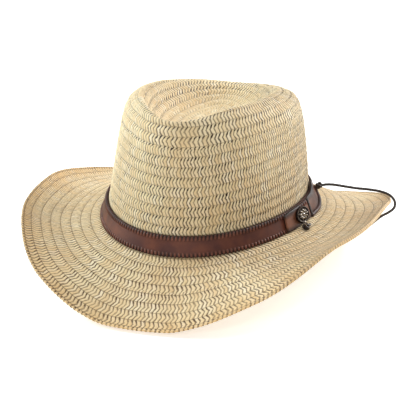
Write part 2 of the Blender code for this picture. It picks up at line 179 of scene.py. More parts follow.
def smooth_route(route, spacing):
    """Points an even distance apart on one smooth curve through the route's points."""
    points = [Vector(point) for point in route]
    points = [2 * points[0] - points[1]] + points + [2 * points[-1] - points[-2]]
    fine = []
    for before, start, end, after in zip(points, points[1:], points[2:], points[3:]):
        chord = (end - start).length
        leave = (end - before) / ((start - before).length + chord) * chord
        arrive = (after - start) / (chord + (after - end).length) * chord
        for k in range(20):
            t = k / 20
            fine.append(start * (1 - 3 * t ** 2 + 2 * t ** 3) + end * (3 * t ** 2 - 2 * t ** 3)
                        + leave * (t - 2 * t ** 2 + t ** 3) + arrive * (t ** 3 - t ** 2))
    fine.append(points[-2])
    length = sum((b - a).length for a, b in zip(fine, fine[1:]))
    count = round(length / spacing)
    even = [fine[0]]
    run = 0.0
    for a, b in zip(fine, fine[1:]):
        step = (b - a).length
        while len(even) < count and run + step >= length * len(even) / count:
            even.append(a.lerp(b, (length * len(even) / count - run) / step))
        run += step
    return even + [fine[-1]]


def finished(name, form, finish, sharp):
    """Object of a bmesh in world place, riding on the hat."""
    mesh = bpy.data.meshes.new(name)
    form.to_mesh(mesh)
    form.free()
    mesh.shade_smooth()
    mesh.set_sharp_from_angle(angle=radians(sharp))
    mesh.materials.append(finish)
    piece = bpy.data.objects.new(name, mesh)
    bpy.context.scene.collection.objects.link(piece)
    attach(piece, "root")
    return piece


def twisted_cord(path, diameter, ridges=0.14):
    """Closed tube along a path, with the backs of the strands winding round it."""
    form = bmesh.new()
    bmesh.ops.create_grid(form, x_segments=CORD_SIDES, y_segments=len(path) - 1, size=0.5)
    stops = []
    side = Vector((0, 0, 1)).cross(path[1] - path[0])
    run = 0.0
    for k, point in enumerate(path):
        along = (path[min(k + 1, len(path) - 1)] - path[max(k - 1, 0)]).normalized()
        side = (side - along * side.dot(along)).normalized()
        run += (point - path[max(k - 1, 0)]).length
        stops.append((point, side.copy(), along.cross(side), 2 * pi * run / CORD_LAY))
    for vert in form.verts:
        turn = 2 * pi * (vert.co.x + 0.5)
        point, side, up, twist = stops[round((vert.co.y + 0.5) * (len(path) - 1))]
        back = abs(cos((turn - twist) * CORD_STRANDS / 2)) ** 0.7
        reach = diameter / 2 * (1 - ridges + ridges * back)
        vert.co = point + (side * cos(turn) + up * sin(turn)) * reach
    bmesh.ops.remove_doubles(form, verts=form.verts, dist=0.00001)
    bmesh.ops.holes_fill(form, edges=form.edges, sides=0)
    bmesh.ops.recalc_face_normals(form, faces=form.faces)
    return form


cord_path = smooth_route(CORD_ROUTE, CORD_STEP)
lead = (cord_path[0] - cord_path[1]) * INTO_KNOT
tail = (cord_path[-1] - cord_path[-2]) * INTO_KNOT
into_knots = [cord_path[0] + lead] + cord_path + [cord_path[-1] + tail]
chin_cord = finished("chin_cord_twisted", twisted_cord(into_knots, CORD_DIAMETER), cord_finish,
                     sharp=60)
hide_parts("chin_cord")

# Straw
# One flat braid of paper straw, plaited in a zigzag and sewn round and round from the crown's centre out
# to the edge of the brim. Each row lies over the next one out and leaves a small step.
CROWN_LENGTH = 0.2038        # outside of the straw at the foot of the crown
CROWN_WIDTH = 0.1612
CROWN_HEIGHT = 0.0995
CROWN_EGG = 0.036            # narrower in front by this share
BRIM_WIDTH = 0.0673
BRIM_CURL = 0.0334
BAND_DIP = 0.0050
BAND_WAVE = {"level": 0.78, "tilt": -0.76, "saddle": -0.34}
LINE_FADE = 0.85
BAND_HEIGHT = 0.0142
BAND_SEAT = 0.0014
TUCK = 0.0014                # how far the brim's first row reaches in under the crown
CROWN_TURNS = (0, 20, 42, 70, 90, 110, 135, 180)
CROWN = {
    "foot":      {"inset": (0, 0, 0, 0, 0, 0, 0, 0),
                  "height": (0, 0, 0, 0, 0, 0, 0, 0)},
    "band_top":  {"inset": (0.060, 0.060, 0.060, 0.060, 0.060, 0.060, 0.060, 0.060),
                  "height": (0.143, 0.143, 0.143, 0.143, 0.143, 0.143, 0.143, 0.143)},
    "wall_low":  {"inset": (0.086, 0.086, 0.096, 0.108, 0.092, 0.082, 0.079, 0.079),
                  "height": (0.38, 0.38, 0.38, 0.38, 0.38, 0.38, 0.38, 0.38)},
    "wall_high": {"inset": (0.117, 0.123, 0.140, 0.157, 0.126, 0.110, 0.100, 0.098),
                  "height": (0.62, 0.62, 0.62, 0.615, 0.61, 0.605, 0.60, 0.60)},
    "shoulder":  {"inset": (0.160, 0.185, 0.212, 0.204, 0.165, 0.146, 0.123, 0.117),
                  "height": (0.825, 0.825, 0.825, 0.808, 0.795, 0.780, 0.762, 0.745)},
    "roll":      {"inset": (0.191, 0.228, 0.268, 0.262, 0.228, 0.205, 0.199, 0.222),
                  "height": (0.905, 0.915, 0.928, 0.920, 0.910, 0.893, 0.870, 0.830)},
    "crest":     {"inset": (0.216, 0.284, 0.340, 0.368, 0.366, 0.362, 0.383, 0.433),
                  "height": (0.950, 0.970, 0.997, 0.992, 0.980, 0.957, 0.918, 0.880)},
    "lip":       {"inset": (0.272, 0.334, 0.390, 0.430, 0.436, 0.438, 0.470, 0.532),
                  "height": (0.925, 0.945, 0.974, 0.968, 0.956, 0.932, 0.898, 0.857)},
    "dent_wall": {"inset": (0.396, 0.433, 0.470, 0.510, 0.530, 0.560, 0.607, 0.718),
                  "height": (0.845, 0.845, 0.855, 0.855, 0.852, 0.842, 0.818, 0.785)},
    "dent_foot": {"inset": (0.594, 0.594, 0.619, 0.640, 0.660, 0.690, 0.743, 0.855),
                  "height": (0.765, 0.765, 0.765, 0.760, 0.755, 0.752, 0.750, 0.745)},
    "centre":    {"inset": (1, 1, 1, 1, 1, 1, 1, 1),
                  "height": (0.740, 0.740, 0.740, 0.740, 0.740, 0.740, 0.740, 0.740)},
}
BRIM_TURNS = (0, 8, 15, 30, 60, 90, 120, 150, 165, 172, 180)
BRIM = {
    "reach":      (1.000, 1.010, 1.030, 1.050, 0.927, 0.862, 0.932, 0.966, 0.947, 0.941, 0.938),
    "lift":       (-1.000, -0.985, -0.850, -0.390, 0.365, 0.404, -0.006, -0.644, -0.900, -0.985, -1.000),
    "foot_slope": (-22, -22, -21, -19, -15, -14, -16, -22, -25, -26, -26),
    "edge_slope": (-18, -18, -15, -4, 32, 46, 28, -4, -18, -22, -22),
}
HALF_WIDTH = CROWN_WIDTH / 2
HALF_LENGTH = CROWN_LENGTH / 2

# The braid's section from its outer edge, u 0, to its inner edge, u 1: lift above the hat's face in mm,
# how far the zigzag edge swings, in rows, and how strongly the strands stand out there.
BRAID = {
    "u":      (0.00, 0.06, 0.26, 0.52, 0.78),
    "lift":   (-0.22, 0.26, 0.42, 0.34, 0.10),
    "swing":  (0.055, 0.055, 0.00, 0.00, 0.00),
    "strand": (0.0, 0.16, 0.14, 0.18, 0.18),
}
CROWN_ROWS = 22.9            # the lowest row begins a little below the crown's foot
DENT_ROWS = 15               # from this row on the crown turns in, and its rows are divided less
BRIM_ROWS = 8.4
NO_ROW = 99                  # beyond the brim's last row
CROWN_DIVISIONS = 600
BRIM_DIVISIONS = 960
ZIGZAG = 0.0029              # length of one zigzag along the braid
ZIGZAG_LEAN = 0.60           # how far its middle runs ahead of its edges, in zigzags
UNDER = 0.0017               # the inner face from the hat's face
UNDER_STEP = 0.0003          # each row's edge stands in by this on the inner face


def through(places, values, at):
    """Smooth curve through values at rising places, level at both ends and without overshoot."""
    last = len(places) - 1
    i = 0
    while i < last - 1 and at > places[i + 1]:
        i += 1
    span = places[i + 1] - places[i]
    share = min(max((at - places[i]) / span, 0.0), 1.0)

    def tangent(k):
        if k == 0 or k == last:
            return 0.0
        before = (values[k] - values[k - 1]) / (places[k] - places[k - 1])
        after = (values[k + 1] - values[k]) / (places[k + 1] - places[k])
        if before * after <= 0:
            return 0.0
        return 2 * before * after / (before + after)

    rise = values[i + 1] - values[i]
    start, end = tangent(i) * span, tangent(i + 1) * span
    return (values[i] + start * share + (3 * rise - 2 * start - end) * share ** 2
            + (start + end - 2 * rise) * share ** 3)


def turn_of(angle):
    return abs(degrees(atan2(sin(angle), cos(angle))))


def band_line(angle):
    """Height of the band's lower edge around the head, lowest in front."""
    wave = BAND_WAVE["tilt"] * cos(angle) + BAND_WAVE["saddle"] * cos(2 * angle)
    return BAND_DIP * (BAND_WAVE["level"] + wave)


def oval(angle, inset):
    """Point on the head oval, moved in towards its long axis by inset."""
    wide = (HALF_WIDTH - inset) * (1 - CROWN_EGG * cos(angle))
    return Vector((wide * sin(angle), -(HALF_LENGTH - inset) * cos(angle), 0))


def outward(angle):
    return Vector((sin(angle) / HALF_WIDTH, -cos(angle) / HALF_LENGTH, 0)).normalized()


def crown_line(angle):
    """Outer face of the crown in its upright section, as (inset, height) from the foot to the centre."""
    turn = turn_of(angle)
    marks = []
    for station in CROWN.values():
        share = through(CROWN_TURNS, station["height"], turn)
        dip = (band_line(angle) - BAND_SEAT) * max(0.0, 1 - share / LINE_FADE)
        marks.append(Vector((through(CROWN_TURNS, station["inset"], turn) * HALF_WIDTH,
                             share * CROWN_HEIGHT + dip)))
    line = []
    for before, start, end, after in zip([marks[0]] + marks, marks, marks[1:], marks[2:] + [marks[-1]]):
        bend = 2 * before - 5 * start + 4 * end - after
        twist = 3 * start - before - 3 * end + after
        for k in range(10):
            t = k / 10
            line.append(start + 0.5 * ((end - before) * t + bend * t ** 2 + twist * t ** 3))
    return line + [Vector((HALF_WIDTH, marks[-1].y))]


def brim_line(angle):
    """Upper face of the brim in its upright section, as (minus reach, height) from the crown to the edge."""
    turn = turn_of(angle)
    reach = through(BRIM_TURNS, BRIM["reach"], turn) * BRIM_WIDTH
    edge = through(BRIM_TURNS, BRIM["lift"], turn) * BRIM_CURL
    start = tan(radians(through(BRIM_TURNS, BRIM["foot_slope"], turn))) * reach
    end = tan(radians(through(BRIM_TURNS, BRIM["edge_slope"], turn))) * reach
    low = band_line(angle) - BAND_SEAT
    rise = edge - low
    tucked = Vector((TUCK, low - 0.0002))
    return [tucked] + [Vector((-reach * t, low + start * t + (3 * rise - 2 * start - end) * t ** 2
                               + (start + end - 2 * rise) * t ** 3)) for t in (k / 30 for k in range(31))]


class Section:
    """Upright section of the hat at one angle, walked by the share of its length."""

    def __init__(self, angle, line):
        self.angle = angle
        self.line = line
        self.runs = [0.0]
        for a, b in zip(line, line[1:]):
            self.runs.append(self.runs[-1] + (b - a).length)
        headings = [(b - a).normalized() for a, b in zip(line, line[1:])]
        self.headings = [headings[0]] + [(a + b).normalized() for a, b in zip(headings, headings[1:])]
        self.headings.append(headings[-1])

    def point(self, share, off):
        """Point at a share of the length from its start, standing off the face by off."""
        at = min(max(share, 0.0), 1.0) * self.runs[-1]
        i = min(max(bisect_left(self.runs, at) - 1, 0), len(self.line) - 2)
        t = (at - self.runs[i]) / (self.runs[i + 1] - self.runs[i])
        flat = self.line[i].lerp(self.line[i + 1], t)
        heading = self.headings[i].lerp(self.headings[i + 1], t).normalized()
        flat += Vector((-heading.y, heading.x)) * off
        if flat.x < 0:
            place = oval(self.angle, 0) - outward(self.angle) * flat.x
        else:
            place = oval(self.angle, HALF_WIDTH if share >= 1 else min(flat.x, HALF_WIDTH))
        return foot + place + Vector((0, 0, flat.y))


def even_angles(divisions, out):
    """Angles that cut the head oval, widened by out, into even lengths."""
    fine = 3600
    runs = [0.0]
    for k in range(fine):
        a, b = 2 * pi * k / fine, 2 * pi * (k + 1) / fine
        runs.append(runs[-1] + (oval(b, 0) + outward(b) * out - oval(a, 0) - outward(a) * out).length)
    angles = []
    for k in range(divisions):
        at = runs[-1] * k / divisions
        i = max(bisect_left(runs, at) - 1, 0)
        angles.append(2 * pi * (i + (at - runs[i]) / (runs[i + 1] - runs[i])) / fine)
    return angles


def zigzag_count(length, divisions):
    """Number of zigzags in a row of that length, such that the divisions fall evenly on them."""
    fits = [n for n in range(8, divisions // 3 + 1) if divisions % n == 0]
    return min(fits, key=lambda n: abs(length / n - ZIGZAG))


def triangle_wave(turns):
    return 4 * abs(turns - floor(turns) - 0.5) - 1


def straw_shell(name, divisions, angles, sections, rings, lean, finish):
    """Shell spun as a flat disc of rings and shaped into the braid, with its zigzags in the UV map."""
    form = bmesh.new()
    line = [form.verts.new((0, -ring, 0)) for ring in range(1, len(rings) + 1)]
    spokes = [form.edges.new(pair) for pair in zip(line, line[1:])]
    bmesh.ops.spin(form, geom=line + spokes, cent=(0, 0, 0), axis=(0, 0, 1), angle=2 * pi, steps=divisions,
                   use_merge=True)
    places = form.verts.layers.int.new("division")
    numbers = form.verts.layers.int.new("ring")
    for vert in form.verts:
        division = round(atan2(vert.co.x, -vert.co.y) / (2 * pi) * divisions) % divisions
        vert[places] = division
        vert[numbers] = round(hypot(vert.co.x, vert.co.y)) - 1
        ring = rings[vert[numbers]]
        turns = ring["zigzags"] * division / divisions
        share = ring["share"] + ring["swing"] * triangle_wave(turns)
        strand = cos(2 * pi * (turns + lean * (1 - abs(2 * ring["u"] - 1))))
        off = ring["lift"] + ring["strand"] * strand
        vert.co = sections[division].point(share, off)
    uv = form.loops.layers.uv.new("braid")
    for face in form.faces:
        inner = min(face.verts, key=lambda vert: vert[numbers])[numbers]
        ring = rings[inner]
        wraps = any(vert[places] == 0 for vert in face.verts) and any(vert[places] > 1 for vert in face.verts)
        for loop in face.loops:
            division = loop.vert[places] or (divisions if wraps else 0)
            across = rings[loop.vert[numbers]]["row"] if loop.vert[numbers] == inner else ring["next_row"]
            loop[uv].uv = (ring["zigzags"] * division / divisions, across)
    bmesh.ops.remove_doubles(form, verts=form.verts, dist=0.0001)
    bmesh.ops.recalc_face_normals(form, faces=form.faces)
    return finished(name, form, finish, sharp=60)


def braid_rings(rows, first, last, fewer_before, divisions, length_of):
    """Rings of the braid's outer face from row number last in to row number first, outer edge first."""
    rings = []
    for row in range(floor(last), floor(first) - 1, -1):
        marks = range(len(BRAID["u"])) if row < fewer_before else (0, 1, 3)
        zigzags = zigzag_count(length_of(row + 0.5), divisions)
        for mark in reversed(marks):
            at = row + BRAID["u"][mark]
            if first <= at <= last:
                rings.append({"row": at, "u": BRAID["u"][mark], "share": (at - first) / rows,
                              "lift": BRAID["lift"][mark] / 1000, "swing": BRAID["swing"][mark] / rows,
                              "strand": BRAID["strand"][mark] / 1000, "zigzags": zigzags, "next_row": at})
    for ring, inner in zip(rings[1:], rings):
        inner["next_row"] = ring["row"]
    return rings


# Paper straw: twisted paper yarn in cream and tan, matt with a faint sheen. The gaps between the straws hold
# painted shade in the colour deep. It differs from straw to straw and is darkest towards each row's inner
# edge, under the row inside that laps over it. The UV map counts zigzags along the braid and rows across it.
# From the row fine on the plait is flatter and its painted shade lighter. The shares are those of the painted
# shadow along the seam under the next row in, of tan in the patches, and of gold on the outermost row.
def straw_finish(name, lean, fine, seam_shadow_share, tan_share, gold_share, deep):
    made, tree, shader = new_material(name)
    braid = add_node(tree, "ShaderNodeUVMap", {}, uv_map="braid")
    spot = add_node(tree, "ShaderNodeSeparateXYZ", {"Vector": braid.outputs["UV"]})
    across = add_node(tree, "ShaderNodeMath", {0: spot.outputs["Y"]}, operation="FRACT")
    row = add_node(tree, "ShaderNodeMath", {0: spot.outputs["Y"]}, operation="FLOOR")
    middle = add_node(tree, "ShaderNodeMath", {0: across.outputs[0], 1: 0.5}, operation="SUBTRACT")
    edge = add_node(tree, "ShaderNodeMath", {0: middle.outputs[0]}, operation="ABSOLUTE")
    bend = add_node(tree, "ShaderNodeMath", {0: edge.outputs[0], 1: -2 * lean, 2: lean},
                    operation="MULTIPLY_ADD")
    wobble = add_node(tree, "ShaderNodeTexNoise", {"Vector": braid.outputs["UV"], "Scale": 1.6, "Detail": 3})
    shake = add_node(tree, "ShaderNodeMath", {0: wobble.outputs["Fac"], 1: 0.8, 2: spot.outputs["X"]},
                     operation="MULTIPLY_ADD")
    turns = add_node(tree, "ShaderNodeMath", {0: shake.outputs[0], 1: bend.outputs[0]}, operation="ADD")
    strand = add_node(tree, "ShaderNodeMath", {0: turns.outputs[0]}, operation="FRACT")
    number = add_node(tree, "ShaderNodeMath", {0: turns.outputs[0]}, operation="FLOOR")
    off_centre = add_node(tree, "ShaderNodeMath", {0: strand.outputs[0], 1: 0.5}, operation="SUBTRACT")
    square = add_node(tree, "ShaderNodeMath", {0: off_centre.outputs[0], 1: off_centre.outputs[0]},
                      operation="MULTIPLY")
    back = add_node(tree, "ShaderNodeMath", {0: square.outputs[0], 1: -4.0, 2: 1.0}, operation="MULTIPLY_ADD")
    # Painted shade in the gaps between the straws, stronger towards each row's inner edge.
    gap_shade = add_node(tree, "ShaderNodeMapRange", {"Value": back.outputs[0], "From Min": 0.80, "From Max": 0.30})
    inner_edge_shade = add_node(tree, "ShaderNodeMapRange", {"Value": across.outputs[0], "From Min": 0.62,
                                                 "From Max": 0.80, "To Min": 0.66, "To Max": 1.0})
    plait = add_node(tree, "ShaderNodeMapRange", {"Value": spot.outputs["Y"], "From Min": fine - 1,
                                                  "From Max": fine + 1, "To Min": 1.0, "To Max": 0.35})
    depth = add_node(tree, "ShaderNodeMath", {0: gap_shade.outputs[0], 1: inner_edge_shade.outputs[0]}, operation="MULTIPLY")
    cut = add_node(tree, "ShaderNodeMath", {0: depth.outputs[0], 1: plait.outputs[0]}, operation="MULTIPLY")
    # Painted shadow along each row's inner edge, under the row that laps over it.
    seam_shadow = add_node(tree, "ShaderNodeMapRange", {"Value": across.outputs[0], "From Min": 0.88,
                                                 "From Max": 0.99, "To Min": 0.0, "To Max": seam_shadow_share})
    label = add_node(tree, "ShaderNodeCombineXYZ", {"X": number.outputs[0], "Y": row.outputs[0]})
    lot = add_node(tree, "ShaderNodeTexWhiteNoise", {"Vector": label.outputs[0]}, noise_dimensions="2D")
    chance = add_node(tree, "ShaderNodeSeparateColor", {"Color": lot.outputs["Color"]})
    open_by = add_node(tree, "ShaderNodeMapRange", {"Value": chance.outputs["Red"], "To Min": 0.66,
                                                    "To Max": 1.40})
    dots = add_node(tree, "ShaderNodeMath", {0: cut.outputs[0], 1: open_by.outputs[0]}, operation="MULTIPLY")
    dark = add_node(tree, "ShaderNodeMath", {0: dots.outputs[0], 1: seam_shadow.outputs[0]}, operation="MAXIMUM")
    straws = add_node(tree, "ShaderNodeValToRGB", {"Fac": lot.outputs["Value"]})
    ramp = straws.color_ramp
    ramp.elements[0].color = linear("#E0C89B")
    ramp.elements[1].color = linear("#F4E7C8")
    for at, colour in ((0.30, "#E7D3A8"), (0.55, "#ECDBB5"), (0.80, "#E9D6AB")):
        ramp.elements.new(at).color = linear(colour)
    place = add_node(tree, "ShaderNodeTexCoord", {})
    patch = add_node(tree, "ShaderNodeTexNoise", {"Vector": place.outputs["Object"], "Scale": 28,
                                                  "Detail": 2})
    shade = add_node(tree, "ShaderNodeMapRange", {"Value": patch.outputs["Fac"], "From Min": 0.3,
                                                  "From Max": 0.7, "To Min": tan_share / 4,
                                                  "To Max": tan_share})
    warm = add_node(tree, "ShaderNodeMix", {"Factor": shade.outputs[0], "A": straws.outputs["Color"],
                                            "B": linear("#D6AC78")}, data_type="RGBA")
    outer = add_node(tree, "ShaderNodeMapRange", {"Value": spot.outputs["Y"], "From Min": 1.9,
                                                  "From Max": 0.3, "To Max": gold_share})
    gold = add_node(tree, "ShaderNodeMix", {"Factor": outer.outputs[0], "A": warm.outputs["Result"],
                                            "B": linear("#CF9F58")}, data_type="RGBA")
    # The straw's colour is mixed towards deep by the painted shade and painted shadow.
    hollow = add_node(tree, "ShaderNodeMix", {"Factor": dark.outputs[0], "A": gold.outputs["Result"],
                                              "B": linear(deep)}, data_type="RGBA")
    height = add_node(tree, "ShaderNodeMath", {0: back.outputs[0], 1: dark.outputs[0]}, operation="SUBTRACT")
    relief = add_node(tree, "ShaderNodeBump", {"Height": height.outputs[0], "Strength": 0.7,
                                               "Distance": 0.0004})
    tree.links.new(hollow.outputs["Result"], shader.inputs["Base Color"])
    tree.links.new(relief.outputs["Normal"], shader.inputs["Normal"])
    shader.inputs["Roughness"].default_value = 0.62
    shader.inputs["Specular IOR Level"].default_value = 0.3
    shader.inputs["Sheen Weight"].default_value = 0.2
    shader.inputs["Sheen Roughness"].default_value = 0.4
    return made


crown_angles = even_angles(CROWN_DIVISIONS, 0)
crown_sections = [Section(angle, crown_line(angle)) for angle in crown_angles]


def crown_length(row):
    """Length around the crown along a row."""
    share = min(max((row + 0.1) / CROWN_ROWS, 0), 1)
    loop = [section.point(share, 0) for section in crown_sections[::8]]
    return sum((b - a).length for a, b in zip(loop, loop[1:] + loop[:1]))


# The crown's rings start at its centre, run out over the dent and down the wall, and come back inside.
crown_outer = braid_rings(CROWN_ROWS, -0.1, CROWN_ROWS - 0.1, DENT_ROWS, CROWN_DIVISIONS, crown_length)
crown_inner = [{**ring, "lift": -UNDER - UNDER_STEP * (ring["u"] == 0.06), "swing": 0, "strand": 0}
               for ring in reversed(crown_outer) if ring["u"] in (0.06, 0.52)]
# The crown's middle is a short line along the head, on which both faces close.
centre_line = {**crown_outer[0], "row": CROWN_ROWS, "share": 1.0, "swing": 0, "strand": 0,
               "next_row": crown_outer[0]["row"]}
crown_inner.append({**centre_line, "lift": -UNDER})
for ring, after in zip(crown_inner, crown_inner[1:]):
    ring["next_row"] = after["row"]
# deep is the colour of the painted shade in the gaps and of the painted shadow along the seams.
crown_straw = straw_finish("Paper straw braid, crown", ZIGZAG_LEAN, fine=DENT_ROWS + 3, seam_shadow_share=0.45,
                           tan_share=0.35, gold_share=0, deep="#2C1908")
crown = straw_shell("straw_crown", CROWN_DIVISIONS, crown_angles, crown_sections,
                    [centre_line] + crown_outer + crown_inner, ZIGZAG_LEAN, crown_straw)
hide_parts("straw_body")

brim_angles = even_angles(BRIM_DIVISIONS, BRIM_WIDTH / 2)
brim_sections = [Section(angle, brim_line(angle)) for angle in brim_angles]


def brim_length(row):
    """Length around the brim along a row, counted in from its edge."""
    share = min(max(1 - row / BRIM_ROWS, 0), 1)
    loop = [section.point(share, 0) for section in brim_sections[::8]]
    return sum((b - a).length for a, b in zip(loop, loop[1:] + loop[:1]))


brim_outer = braid_rings(BRIM_ROWS, 0.0, BRIM_ROWS, NO_ROW, BRIM_DIVISIONS, brim_length)
for ring in brim_outer:
    ring["share"] = 1 - ring["share"]
    ring["swing"] = -ring["swing"]
# The brim's rings start at the crown, run out to the edge and come back inside to where they started.
brim_edge = {**brim_outer[-1], "share": 1.0, "lift": -UNDER - 0.0004, "row": -0.2}
brim_outer[-1]["lift"] = -0.0002
brim_inner = [{**ring, "lift": -UNDER - UNDER_STEP * (ring["u"] == 0.06), "swing": 0, "strand": 0}
              for ring in reversed(brim_outer) if ring["u"] in (0.26, 0.78)] + [brim_outer[0].copy()]
for ring, after in zip(brim_inner, brim_inner[1:]):
    ring["next_row"] = after["row"]
# deep is the colour of the painted shade in the gaps and of the painted shadow along the seams.
brim_straw = straw_finish("Paper straw braid, brim", -ZIGZAG_LEAN, fine=NO_ROW, seam_shadow_share=0.80,
                          tan_share=0.45, gold_share=0.4, deep="#573A12")
brim = straw_shell("straw_brim", BRIM_DIVISIONS, brim_angles, brim_sections,
                   brim_outer + [brim_edge] + brim_inner, -ZIGZAG_LEAN, brim_straw)
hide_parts("straw_body")

# Hat band
# A strip of red-brown waxed leather round the foot of the crown, 14 mm high and 1.8 mm thick. A lace of the
# same leather is whipped over both edges, through a row of holes a little over 2 mm in.
CLEARANCE = 0.0003
LEATHER = 0.0018
ROUNDING = 0.0006            # of the cut edges
BURNISHED = 0.0036           # the strip is darkened this far in from its edges
BAND_DIVISIONS = 400
LACE_PITCH = 0.0030
LACE_WIDTH = 0.0016
LACE_THICKNESS = 0.0008
LACE_SIDES = 6
LACE_SLANT = 0.0003
LACE = (                     # run of one stitch: in from the leather's edge, and off its inner face
    (0.0034, 0.0014), (0.0029, 0.0021), (0.0015, 0.0023), (0.0002, 0.0020), (-0.0003, 0.0010),
    (0.0001, 0.0003),
)


# Waxed cowhide: red-brown with darker clouds, a soft gloss broken by a fine grain, near black along its cut
# edges where its attribute marks them. On the laces the same attribute half darkens the parts in the holes
# and round behind the edge, as painted shade.
def leather_finish(name, pale, deep):
    made, tree, shader = new_material(name)
    place = add_node(tree, "ShaderNodeTexCoord", {})
    cloud = add_node(tree, "ShaderNodeTexNoise", {"Vector": place.outputs["Object"], "Scale": 70,
                                                  "Detail": 4})
    spread = add_node(tree, "ShaderNodeMapRange", {"Value": cloud.outputs["Fac"], "From Min": 0.36,
                                                   "From Max": 0.64})
    hide = add_node(tree, "ShaderNodeMix", {"Factor": spread.outputs[0], "A": linear(deep),
                                            "B": linear(pale)}, data_type="RGBA")
    burnish_and_shade = add_node(tree, "ShaderNodeAttribute", {}, attribute_name="burnish_and_shade")
    worn = add_node(tree, "ShaderNodeMix", {"Factor": burnish_and_shade.outputs["Fac"], "A": hide.outputs["Result"],
                                            "B": linear("#1E100B")}, data_type="RGBA")
    grain = add_node(tree, "ShaderNodeTexVoronoi", {"Vector": place.outputs["Object"], "Scale": 1400})
    relief = add_node(tree, "ShaderNodeBump", {"Height": grain.outputs["Distance"], "Strength": 0.25,
                                               "Distance": 0.0002})
    tree.links.new(worn.outputs["Result"], shader.inputs["Base Color"])
    tree.links.new(relief.outputs["Normal"], shader.inputs["Normal"])
    shader.inputs["Roughness"].default_value = 0.48
    shader.inputs["Specular IOR Level"].default_value = 0.28
    return made


def rounded_outline(height, thick, rounding, between):
    """Closed outline of a strip's cross-section as (across, off) pairs, from its lower inner corner."""
    outline = []
    corners = ((rounding, rounding, 270), (rounding, thick - rounding, 180),
               (height - rounding, thick - rounding, 90), (height - rounding, rounding, 0))
    for across, off, start in corners:
        for k in range(4):
            turn = radians(start - 30 * k)
            outline.append((across + rounding * cos(turn), off + rounding * sin(turn)))
        if start == 180:
            outline += [(height * k / between, thick) for k in range(1, between)]
    return outline


def leather_strip(divisions, outline_of, spot):
    """Strip of leather: outline_of gives its cross-section and spot its points, by the share along it."""
    form = bmesh.new()
    sides = len(outline_of(0))
    bmesh.ops.create_grid(form, x_segments=divisions, y_segments=sides, size=0.5)
    burnish_and_shade = form.verts.layers.float.new("burnish_and_shade")
    for vert in form.verts:
        along = vert.co.x + 0.5
        outline = outline_of(along)
        across, off = outline[round((vert.co.y + 0.5) * sides) % sides]
        height = max(pair[0] for pair in outline)
        depth = min(across, height - across)
        vert[burnish_and_shade] = max(0.0, 1 - depth / BURNISHED) ** 0.6
        vert.co = spot(along, across, off)
    bmesh.ops.remove_doubles(form, verts=form.verts, dist=0.00003)
    bmesh.ops.holes_fill(form, edges=form.edges, sides=0)
    bmesh.ops.recalc_face_normals(form, faces=form.faces)
    return form


def laces(form, count, spot):
    """Stitches over an edge: spot gives the points of stitch k from those along the edge, in and off."""
    burnish_and_shade = form.verts.layers.float.get("burnish_and_shade") or form.verts.layers.float.new("burnish_and_shade")
    for stitch in range(count):
        made = bmesh.ops.create_grid(form, x_segments=LACE_SIDES, y_segments=len(LACE) - 1, size=0.5)
        for vert in made["verts"]:
            k = round((vert.co.y + 0.5) * (len(LACE) - 1))
            turn = 2 * pi * (vert.co.x + 0.5)
            taper = 0.5 if k in (0, len(LACE) - 1) else 1.0
            inward, off = LACE[k]
            # Painted shade: each stitch is half dark inside its hole and where it turns over the edge and
            # runs behind it.
            vert[burnish_and_shade] = 0.0 if 0 < k < 3 else 0.5
            vert.co = spot(stitch, cos(turn) * taper * LACE_WIDTH / 2 + LACE_SLANT * (k / 2 - 1), inward,
                           off + sin(turn) * taper * LACE_THICKNESS / 2)
    bmesh.ops.remove_doubles(form, verts=form.verts, dist=0.00003)
    bmesh.ops.holes_fill(form, edges=form.edges, sides=0)
    bmesh.ops.recalc_face_normals(form, faces=form.faces)


def band_face(angle, across, off):
    """Point standing off the straw at a height above the band's lower edge."""
    rise = across / BAND_HEIGHT
    point = oval(angle, CROWN["band_top"]["inset"][0] * HALF_WIDTH * rise) + outward(angle) * off
    fade = CROWN["band_top"]["height"][0] / LINE_FADE * rise
    point.z = band_line(angle) * (1 - fade) + across
    return foot + point


band_angles = even_angles(BAND_DIVISIONS, LEATHER)
band_angles.append(2 * pi)
band_run = sum((band_face(b, 0, LEATHER) - band_face(a, 0, LEATHER)).length
               for a, b in zip(band_angles, band_angles[1:]))


def band_angle(share):
    """Angle at a share of the band's length."""
    at = (share % 1.0) * BAND_DIVISIONS
    k = min(int(at), BAND_DIVISIONS - 1)
    return band_angles[k] + (band_angles[k + 1] - band_angles[k]) * (at - k)


band_outline = rounded_outline(BAND_HEIGHT, LEATHER, ROUNDING, 8)
band_leather = leather_finish("Red-brown waxed leather, band", "#704030", "#52302A")
strip = leather_strip(BAND_DIVISIONS, lambda along: band_outline,
                      lambda along, across, off: band_face(band_angle(along), across, CLEARANCE + off))
hat_band = finished("leather_band", strip, band_leather, sharp=45)

lace_count = round(band_run / LACE_PITCH)
lacing = bmesh.new()
for top in (False, True):
    laces(lacing, lace_count, lambda k, along, inward, off: band_face(
        band_angle((k + 0.5) / lace_count + along / band_run), BAND_HEIGHT - inward if top else inward,
        CLEARANCE + off))
lace_leather = leather_finish("Brown leather lace", "#7C4B3B", "#5F392C")
band_lacing = finished("band_lacing", lacing, lace_leather, sharp=80)
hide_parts("hat_band")
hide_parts("hat_band")

